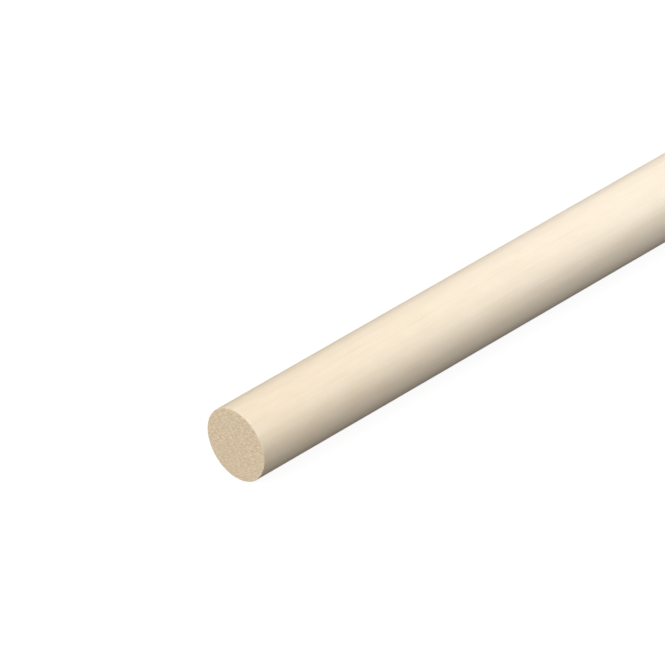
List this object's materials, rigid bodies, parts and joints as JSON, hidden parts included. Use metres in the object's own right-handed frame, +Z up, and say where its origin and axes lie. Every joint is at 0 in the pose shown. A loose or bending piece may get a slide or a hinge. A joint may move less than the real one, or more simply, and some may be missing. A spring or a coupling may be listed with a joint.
{
  "type": "hardwood dowel",
  "caption": "Straight round rod of pale hardwood with square-sawn ends and eased edges, cut to length for pegs, rails and rounded trim.",
  "frame": {"origin": "under the middle of the dowel's length, on the floor that it lies on", "axes": "+X along the dowel from the end that the picture shows, +Z up from the floor"},
  "size_m": [0.9, 0.025, 0.025],
  "materials": {
    "hardwood": "sanded smooth, bare"
  },
  "bodies": {
    "root": {"dowel": "hardwood"}
  },
  "joints": []
}
